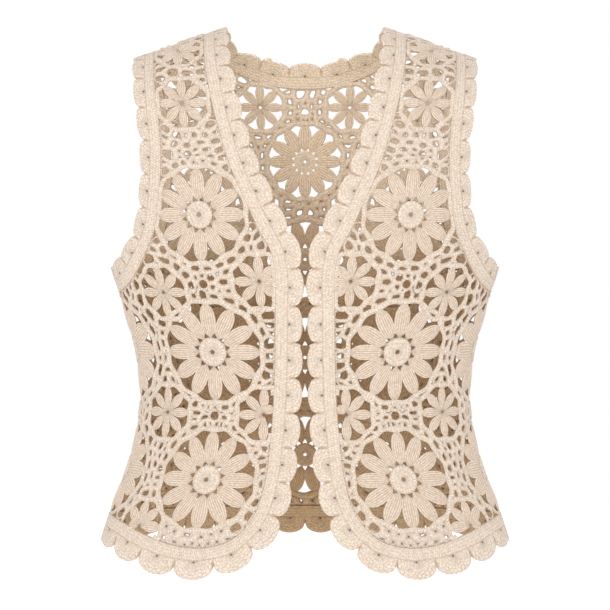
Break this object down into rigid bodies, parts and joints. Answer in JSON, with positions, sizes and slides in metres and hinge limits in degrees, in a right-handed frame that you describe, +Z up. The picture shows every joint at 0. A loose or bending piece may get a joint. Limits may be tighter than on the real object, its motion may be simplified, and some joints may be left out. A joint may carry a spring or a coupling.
{
  "type": "crochet vest",
  "caption": "Open-front sleeveless crochet vest in flower lace with scalloped edgings, shown in its worn hollow form with open neck, armholes and hem.",
  "frame": {"origin": "between the two shoulder seams at the height of their middle, where the wearer's shoulders carry the vest", "axes": "+Z up, the front faces -Y, +X is the wearer's left"},
  "size_m": [0.4084, 0.2286, 0.5375],
  "materials": {
    "lace": "matte cream cotton yarn, crocheted flower lace, darker on the wrong side",
    "edging": "matte cream cotton yarn, dense crochet rows and scallops"
  },
  "bodies": {
    "root": {"front_left": "lace", "front_right": "lace", "back": "lace", "front_edging_left": "edging", "front_edging_right": "edging", "back_neck_edging": "edging", "back_hem_edging": "edging", "armhole_edging_left": "edging", "armhole_edging_right": "edging"}
  },
  "joints": []
}
